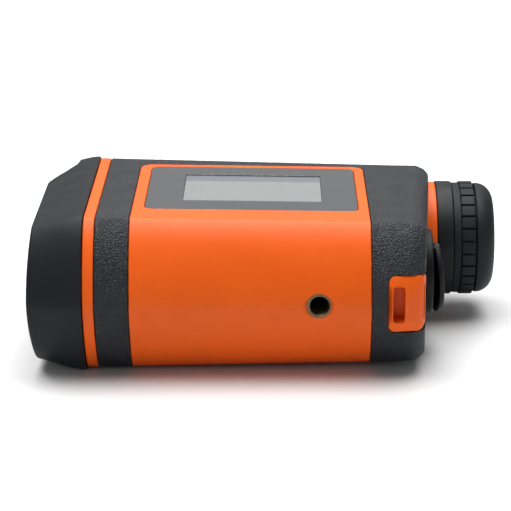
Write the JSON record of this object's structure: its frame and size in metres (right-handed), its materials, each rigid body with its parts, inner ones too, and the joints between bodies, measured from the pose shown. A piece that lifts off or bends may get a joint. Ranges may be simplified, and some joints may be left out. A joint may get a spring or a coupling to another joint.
{
  "type": "laser distance meter",
  "caption": "Monocular laser distance meter: grained rubber and plastic body, side display, focusing eyepiece, top buttons, battery cap with folding tab, strap lug and tripod socket.",
  "frame": {"origin": "centre of the tripod socket's mouth, in the base of the body", "axes": "+X along the viewing axis towards the eyepiece, +Y up in use (away from the tripod), +Z out of the display side; the part is stored lying on its right side, display up"},
  "size_m": [0.1321, 0.0857, 0.0448],
  "materials": {
    "hood_plastic": "fine satin moulding, near black",
    "black_plastic": "matte moulded plastic",
    "orange_plastic": "fine-grained satin moulding",
    "armour_rubber": "leather-grained rubber",
    "soft_rubber": "smooth matte rubber",
    "window_acrylic": "smoke-printed acrylic, glossy",
    "lcd_glass": "reflective liquid crystal, silver grey",
    "backlight_plastic": "white diffuser",
    "circuit_board": "solder mask",
    "chip_epoxy": "moulded packages",
    "optical_glass": "coated lens",
    "brass": "turned",
    "steel": "plated",
    "gold_can": "plated can",
    "battery_sleeve": "shrink sleeve, plain",
    "foam": "thin adhesive foam"
  },
  "bodies": {
    "housing": {"front_hood": "hood_plastic", "lens_plate": "black_plastic", "front_frame": "orange_plastic", "main_housing": "orange_plastic", "rear_frame": "orange_plastic", "rubber_armour": "armour_rubber", "strap_lug": "orange_plastic", "tripod_insert": "brass", "rear_screws": "steel", "display_window": "window_acrylic", "window_gasket": "foam", "lcd_panel": "lcd_glass", "lcd_backlight": "backlight_plastic", "display_board": "circuit_board", "button_switches": "steel", "button_board": "circuit_board", "objective_lens": "optical_glass", "objective_retainer": "black_plastic", "objective_barrel": "black_plastic", "prism_housing": "black_plastic", "half_penta_prism": "optical_glass", "roof_prism": "optical_glass", "reticle_plate": "lcd_glass", "receiver_module": "steel", "laser_lens": "optical_glass", "laser_tube": "black_plastic", "laser_diode": "gold_can", "laser_board": "circuit_board", "eyepiece_barrel": "black_plastic", "field_lens": "optical_glass", "inner_frame": "black_plastic", "main_board": "circuit_board", "board_chips": "chip_epoxy", "battery": "battery_sleeve", "battery_tube": "black_plastic", "battery_spring": "steel"},
    "measure_key": {"measure_button": "soft_rubber"},
    "mode_key": {"mode_button": "soft_rubber"},
    "eye_carrier": {"eye_lens_carrier": "black_plastic", "eye_lens": "optical_glass"},
    "focus_ring": {"diopter_ring": "soft_rubber", "eyecup": "soft_rubber"},
    "cap_carriage": {"cap_contact": "brass"},
    "cap": {"battery_cap": "black_plastic", "cap_seal": "soft_rubber", "tab_pin": "steel"},
    "tab": {"cap_tab": "black_plastic"}
  },
  "joints": [
    {"name": "measure_press", "type": "slide", "parent": "housing", "child": "measure_key", "axis": [-0.04, -0.9992, 0], "range_m": [0, 0.0007], "stiffness_N_per_m": 1500, "springref_m": -0.0005},
    {"name": "mode_press", "type": "slide", "parent": "housing", "child": "mode_key", "axis": [-0.04, -0.9992, 0], "range_m": [0, 0.0007], "stiffness_N_per_m": 1500, "springref_m": -0.0005},
    {"name": "focus_slide", "type": "slide", "parent": "housing", "child": "eye_carrier", "axis": [1, 0, 0], "range_m": [0, 0.0015]},
    {"name": "focus_turn", "type": "hinge", "parent": "eye_carrier", "child": "focus_ring", "pos_m": [0.03547, 0.0621, 0], "axis": [1, 0, 0], "range_deg": [0, 270]},
    {"name": "cap_travel", "type": "slide", "parent": "housing", "child": "cap_carriage", "axis": [1, 0, 0], "range_m": [0, 0.006]},
    {"name": "cap_turn", "type": "hinge", "parent": "cap_carriage", "child": "cap", "pos_m": [0.03011, 0.0298, 0], "axis": [1, 0, 0], "range_deg": [0, 1440]},
    {"name": "tab_fold", "type": "hinge", "parent": "cap", "child": "tab", "pos_m": [0.03321, 0.0298, 0], "axis": [0, -0.4226, 0.9063], "range_deg": [-8, 82]}
  ],
  "couplings": [
    {"joint": "focus_slide", "follows": "focus_turn", "m_per_rad": 0.00031831},
    {"joint": "cap_travel", "follows": "cap_turn", "m_per_rad": 0.00023873}
  ]
}
